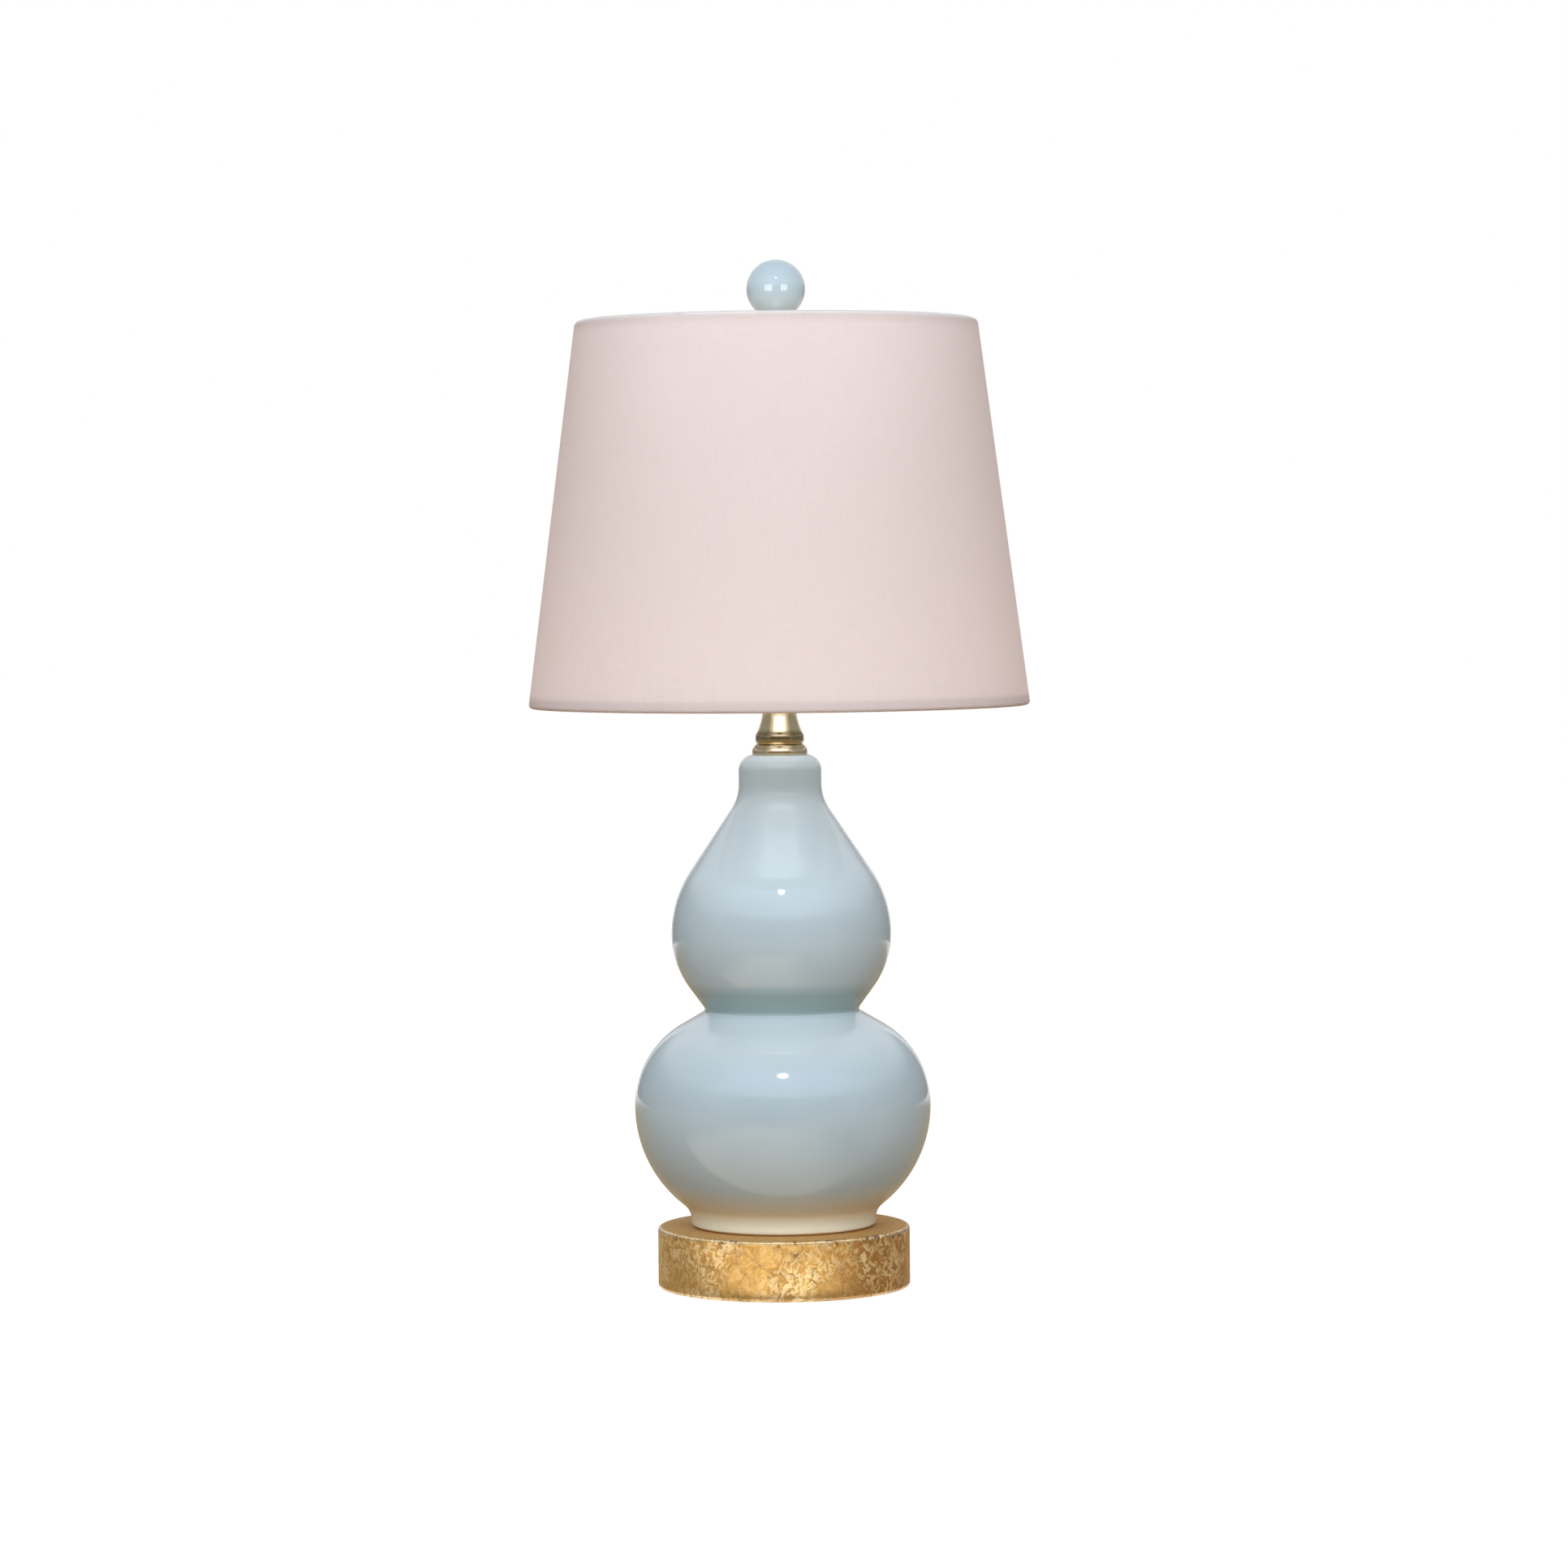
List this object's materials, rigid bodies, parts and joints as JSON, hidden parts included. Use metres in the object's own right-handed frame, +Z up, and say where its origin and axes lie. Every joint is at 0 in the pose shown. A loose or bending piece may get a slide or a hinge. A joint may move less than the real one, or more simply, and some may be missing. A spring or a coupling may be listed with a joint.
{
  "type": "table lamp",
  "caption": "Double gourd ceramic table lamp on a gilded disc base, with an empire linen shade on a detachable harp and a ball finial.",
  "frame": {"origin": "centre of the felt's underside, on the table", "axes": "+Z up the lamp's axis, -Y the front, +Y the side of the cord inlet, +X to the right"},
  "size_m": [0.2535, 0.2534, 0.5204],
  "materials": {
    "gilded_wood": "gold leaf over a turned wood disc",
    "felt": "felt",
    "black_rubber": "matt",
    "zinc_steel": "zinc plated",
    "celadon_glaze": "gloss glaze",
    "polished_brass": "polished",
    "shell_brass": "satin",
    "insulating_paper": "waxed",
    "black_phenolic": "moulded",
    "knob_plastic": "moulded",
    "linen": "fine linen",
    "styrene": "satin",
    "white_wire": "enamel",
    "frosted_glass": "frosted inside",
    "cap_brass": "bright",
    "black_glass": "gloss",
    "clear_glass": "clear",
    "tungsten": "drawn"
  },
  "bodies": {
    "lamp": {"base_block": "gilded_wood", "base_felt": "felt", "cord_bushing": "black_rubber", "lamp_pipe": "zinc_steel", "bottom_washer": "zinc_steel", "lock_washer": "zinc_steel", "bottom_nut": "zinc_steel", "seat_gasket": "black_rubber", "gourd_body": "celadon_glaze", "vase_cap": "polished_brass", "brass_neck": "polished_brass", "harp_saddle": "polished_brass", "saddle_nut": "zinc_steel", "socket_cap": "shell_brass", "socket_set_screw": "zinc_steel", "socket_shell": "shell_brass", "socket_liner": "insulating_paper", "socket_core": "black_phenolic", "socket_thread_shell": "cap_brass", "socket_contact": "cap_brass", "terminal_screws": "cap_brass"},
    "switch": {"switch_shaft": "shell_brass", "switch_knob": "knob_plastic"},
    "bulb": {"bulb_glass": "frosted_glass", "bulb_cap": "cap_brass", "bulb_insulator": "black_glass", "bulb_contact": "cap_brass", "bulb_stem": "clear_glass", "bulb_filament": "tungsten"},
    "harp": {"harp_loop": "polished_brass", "harp_stud": "polished_brass"},
    "left_sleeve": {"harp_sleeve_left": "polished_brass"},
    "right_sleeve": {"harp_sleeve_right": "polished_brass"},
    "shade": {"shade_linen": "linen", "shade_backing": "styrene", "shade_low_hem": "linen", "shade_top_hem": "linen", "shade_low_ring": "white_wire", "spider_fitter": "white_wire"},
    "finial": {"finial_base": "polished_brass", "finial_ball": "celadon_glaze"}
  },
  "joints": [
    {"name": "switch_turn", "type": "hinge", "parent": "lamp", "child": "switch", "pos_m": [0, -0.027, 0.329], "axis": [0, -1, 0], "continuous": true},
    {"name": "bulb_turn", "type": "hinge", "parent": "lamp", "child": "bulb", "pos_m": [0, 0, 0.35], "axis": [0, 0, 1], "continuous": true},
    {"name": "harp_lift", "type": "slide", "parent": "lamp", "child": "harp", "axis": [0, 0, 1], "range_m": [0, 0.05]},
    {"name": "left_sleeve_slide", "type": "slide", "parent": "harp", "child": "left_sleeve", "axis": [0, 0, 1], "range_m": [0, 0.012]},
    {"name": "right_sleeve_slide", "type": "slide", "parent": "harp", "child": "right_sleeve", "axis": [0, 0, 1], "range_m": [0, 0.012]},
    {"name": "shade_lift", "type": "slide", "parent": "harp", "child": "shade", "axis": [0, 0, 1], "range_m": [0, 0.2]},
    {"name": "finial_turn", "type": "hinge", "parent": "shade", "child": "finial", "pos_m": [0, 0, 0.5], "axis": [0, 0, 1], "continuous": true}
  ]
}
